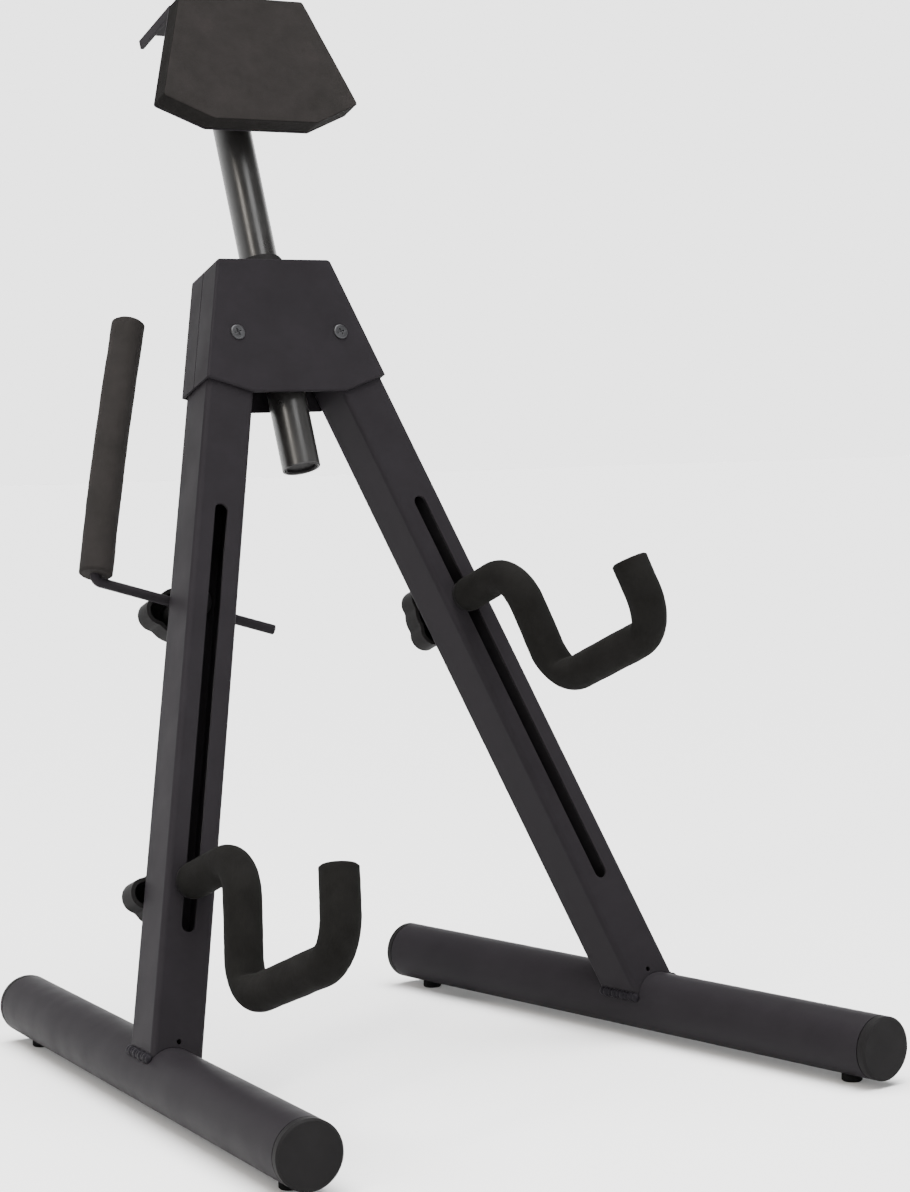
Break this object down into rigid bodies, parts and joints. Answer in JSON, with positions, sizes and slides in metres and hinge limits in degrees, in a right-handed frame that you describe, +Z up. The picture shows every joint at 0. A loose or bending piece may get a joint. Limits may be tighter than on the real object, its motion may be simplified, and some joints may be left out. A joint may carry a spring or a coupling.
{
  "type": "folding instrument floor stand",
  "caption": "Folding A-frame floor stand for a guitar, bass or cello: slotted square legs on round feet, foam-covered hooks, a side rod and a padded back rest on a sliding neck.",
  "frame": {"origin": "centre of the bounding box at floor level", "axes": "+Z up; the padded, hooked front faces -Y; +X is the right leg seen from the front"},
  "size_m": [0.4225, 0.465, 0.6783],
  "materials": {
    "black_coat": "satin black powder coat",
    "weld_coat": "black coat over rippled weld",
    "black_gloss_coat": "smoother, glossier black coat",
    "black_steel": "black oxide steel",
    "bright_steel": "plain zinc",
    "black_plastic": "moulded, fine grain",
    "black_foam": "soft closed-cell foam, matt",
    "black_rubber": "matt rubber"
  },
  "bodies": {
    "head": {"head_front_cover": "black_coat", "head_rear_cover": "black_coat", "pivot_screws": "black_steel", "pivot_sleeves": "bright_steel", "pivot_washers": "black_plastic", "pivot_nuts": "black_steel", "neck_bush": "black_plastic", "neck_clamp_block": "black_plastic", "neck_guide_plate": "black_plastic"},
    "neck_clamp": {"neck_clamp_knob": "black_plastic", "neck_clamp_screw": "black_steel"},
    "neck": {"neck_tube": "black_gloss_coat", "neck_stop_pin": "black_steel", "neck_end_plug": "black_plastic", "neck_top_plug": "black_plastic"},
    "pad": {"pad_plate": "black_coat", "pad_flange": "black_coat", "pad_lips": "black_coat", "pad_foam": "black_foam", "pad_bolt": "black_steel"},
    "left_leg": {"left_leg_tube": "black_coat", "left_foot_tube": "black_coat", "left_foot_front_cap": "black_plastic", "left_foot_rear_cap": "black_plastic", "left_rubber_feet": "black_rubber", "left_weld_beads": "weld_coat"},
    "left_hook_carrier": {"left_hook_front_washer": "black_plastic", "left_hook_rear_washer": "black_steel"},
    "left_hook": {"left_hook_rod": "black_coat", "left_hook_foam": "black_foam"},
    "left_hook_clamp": {"left_hook_knob": "black_plastic", "left_hook_knob_insert": "bright_steel"},
    "right_leg": {"right_leg_tube": "black_coat", "right_foot_tube": "black_coat", "right_foot_front_cap": "black_plastic", "right_foot_rear_cap": "black_plastic", "right_rubber_feet": "black_rubber", "right_weld_beads": "weld_coat"},
    "right_hook_carrier": {"right_hook_front_washer": "black_plastic", "right_hook_rear_washer": "black_steel"},
    "right_hook": {"right_hook_rod": "black_coat", "right_hook_foam": "black_foam"},
    "right_hook_clamp": {"right_hook_knob": "black_plastic", "right_hook_knob_insert": "bright_steel"},
    "side_carrier": {"side_slide_washer": "black_steel"},
    "side_stud": {"side_stud": "black_steel", "side_press_washer": "black_steel"},
    "side_rod": {"side_rod": "black_coat", "side_rod_foam": "black_foam"},
    "side_clamp": {"side_knob": "black_plastic", "side_knob_insert": "bright_steel"}
  },
  "joints": [
    {"name": "neck_slide", "type": "slide", "parent": "head", "child": "neck", "axis": [0, 0.3348, 0.9423], "range_m": [-0.062, 0.06]},
    {"name": "pad_swivel", "type": "hinge", "parent": "neck", "child": "pad", "pos_m": [0, 0.20271, 0.65626], "axis": [0, 0.3348, 0.9423], "continuous": true},
    {"name": "neck_clamp_turn", "type": "hinge", "parent": "head", "child": "neck_clamp", "pos_m": [0, 0.16569, 0.46247], "axis": [0, -0.9423, 0.3348], "continuous": true},
    {"name": "left_leg_fold", "type": "hinge", "parent": "head", "child": "left_leg", "pos_m": [-0.03766, 0.12982, 0.45113], "axis": [0, -0.9423, 0.3348], "range_deg": [0, 16.45]},
    {"name": "left_hook_slide", "type": "slide", "parent": "left_leg", "child": "left_hook_carrier", "axis": [0.2832, 0.3211, 0.9037], "range_m": [-0.026, 0.125]},
    {"name": "left_hook_swivel", "type": "hinge", "parent": "left_hook_carrier", "child": "left_hook", "pos_m": [-0.13986, 0.01393, 0.12499], "axis": [0, -0.9423, 0.3348], "continuous": true},
    {"name": "left_hook_clamp_turn", "type": "hinge", "parent": "left_hook", "child": "left_hook_clamp", "pos_m": [-0.13986, 0.0422, 0.11494], "axis": [0, -0.9423, 0.3348], "continuous": true},
    {"name": "right_leg_fold", "type": "hinge", "parent": "head", "child": "right_leg", "pos_m": [0.03766, 0.12982, 0.45113], "axis": [0, 0.9423, -0.3348], "range_deg": [0, 16.45]},
    {"name": "right_hook_slide", "type": "slide", "parent": "right_leg", "child": "right_hook_carrier", "axis": [-0.2832, 0.3211, 0.9037], "range_m": [-0.1966, 0.0678]},
    {"name": "right_hook_swivel", "type": "hinge", "parent": "right_hook_carrier", "child": "right_hook", "pos_m": [0.09155, 0.06871, 0.27916], "axis": [0, -0.9423, 0.3348], "continuous": true},
    {"name": "right_hook_clamp_turn", "type": "hinge", "parent": "right_hook", "child": "right_hook_clamp", "pos_m": [0.09155, 0.09698, 0.26912], "axis": [0, -0.9423, 0.3348], "continuous": true},
    {"name": "side_rod_height", "type": "slide", "parent": "left_leg", "child": "side_carrier", "axis": [0.2832, 0.3211, 0.9037], "range_m": [-0.145, 0.0504]},
    {"name": "side_rod_swivel", "type": "hinge", "parent": "side_carrier", "child": "side_stud", "pos_m": [-0.08662, 0.09786, 0.28652], "axis": [0, -0.9423, 0.3348], "range_deg": [0, 60]},
    {"name": "side_rod_reach", "type": "slide", "parent": "side_stud", "child": "side_rod", "axis": [-0.9492, 0.1054, 0.2966], "range_m": [-0.025, 0.048]},
    {"name": "side_clamp_turn", "type": "hinge", "parent": "side_stud", "child": "side_clamp", "pos_m": [-0.08662, 0.11671, 0.27982], "axis": [0, -0.9423, 0.3348], "continuous": true}
  ]
}
